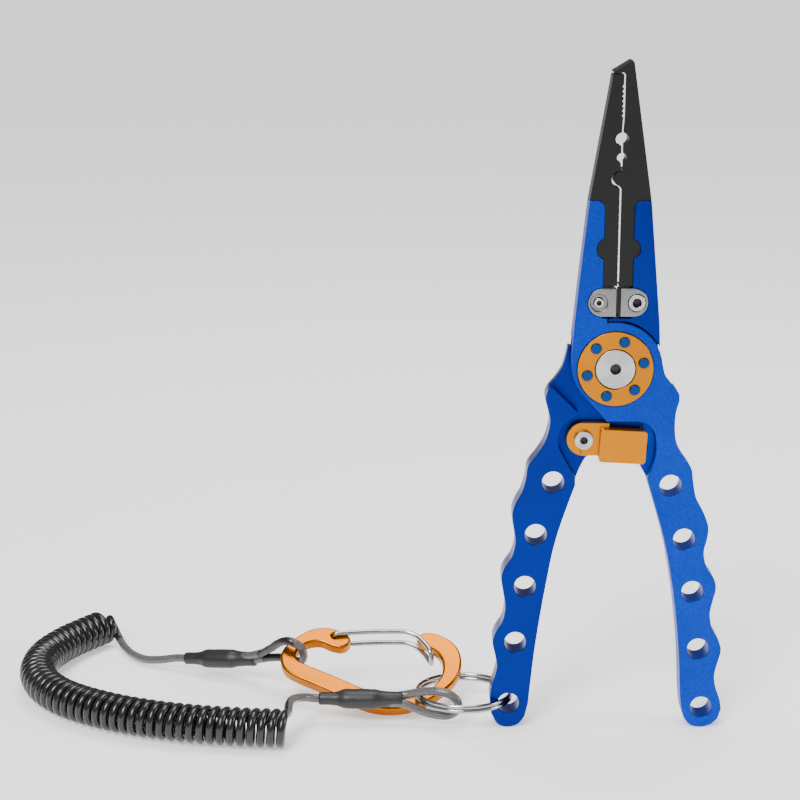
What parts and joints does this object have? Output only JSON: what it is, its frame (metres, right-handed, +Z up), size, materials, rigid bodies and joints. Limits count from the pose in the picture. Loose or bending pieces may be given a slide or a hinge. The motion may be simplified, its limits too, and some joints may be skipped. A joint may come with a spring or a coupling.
{
  "type": "fishing pliers",
  "caption": "Long-nose fishing pliers with side cutters, a pivot ring, a swinging thumb lock, finger-shaped drilled handles and a coiled lanyard with a wire-gate clip.",
  "frame": {"origin": "on the floor under the middle of the pliers, which stand on their two handle tips", "axes": "+Z up from the handle tips to the jaws, -Y the front face with the thumb lock, +X to the right seen from the front; the pivot axis runs along Y"},
  "size_m": [0.2323, 0.1054, 0.2125],
  "materials": {
    "light_blue_anodised": "fine grained anodised",
    "deep_blue_anodised": "smooth anodised",
    "orange_anodised": "satin anodised",
    "clip_orange": "gloss anodised",
    "teal_blue": "satin anodised",
    "black_steel": "satin black",
    "bright_steel": "turned",
    "spring_steel": "drawn wire",
    "bronze": "turned",
    "white_nylon": "matt",
    "chrome_wire": "polished",
    "smoky_cable": "clear coated",
    "coil_black": "clear coated",
    "shrink_black": "matt"
  },
  "bodies": {
    "back_half": {"back_half": "deep_blue_anodised", "right_jaw": "black_steel", "right_cutter": "bright_steel", "cutter_insert": "black_steel", "right_cutter_screw": "bright_steel", "pivot_bush": "bronze", "pivot_screw": "bright_steel", "pivot_nut": "bright_steel", "thrust_washer": "white_nylon", "return_spring": "spring_steel", "rear_cap_ring": "orange_anodised", "rear_cap_pins": "teal_blue", "lock_screw": "bright_steel", "lock_washer": "spring_steel"},
    "front_half": {"front_half": "light_blue_anodised", "left_jaw": "black_steel", "left_cutter": "bright_steel", "left_cutter_screw": "bright_steel", "front_cap_ring": "orange_anodised", "front_cap_pins": "teal_blue", "lock_catch_pin": "bright_steel"},
    "lock_lever": {"lock_lever": "orange_anodised"},
    "lanyard": {"split_ring": "chrome_wire", "carabiner_frame": "clip_orange", "near_loop": "smoky_cable", "near_ferrule": "bright_steel", "near_sleeve": "shrink_black", "near_lead": "smoky_cable", "coil": "coil_black", "far_lead": "smoky_cable", "far_sleeve": "shrink_black", "far_ferrule": "bright_steel", "far_loop": "smoky_cable"},
    "clip_gate": {"carabiner_gate": "chrome_wire"}
  },
  "joints": [
    {"name": "pliers_open", "type": "hinge", "parent": "back_half", "child": "front_half", "pos_m": [0, 0, 0.1185], "axis": [0, -1, 0], "range_deg": [0, 28], "deforming": ["return_spring"]},
    {"name": "lock_swing", "type": "hinge", "parent": "back_half", "child": "lock_lever", "pos_m": [-0.0092, 0, 0.0957], "axis": [0, 1, 0], "range_deg": [0, 52]},
    {"name": "ring_swing", "type": "hinge", "parent": "back_half", "child": "lanyard", "pos_m": [-0.0315, 0, 0.0082], "axis": [0, 1, 0], "range_deg": [0, 20]},
    {"name": "gate_open", "type": "hinge", "parent": "lanyard", "child": "clip_gate", "pos_m": [-0.08824, 0.02773, 0.01783], "axis": [0, 0.5446, -0.8387], "range_deg": [0, 10], "stiffness_Nm_per_rad": 0.005}
  ]
}
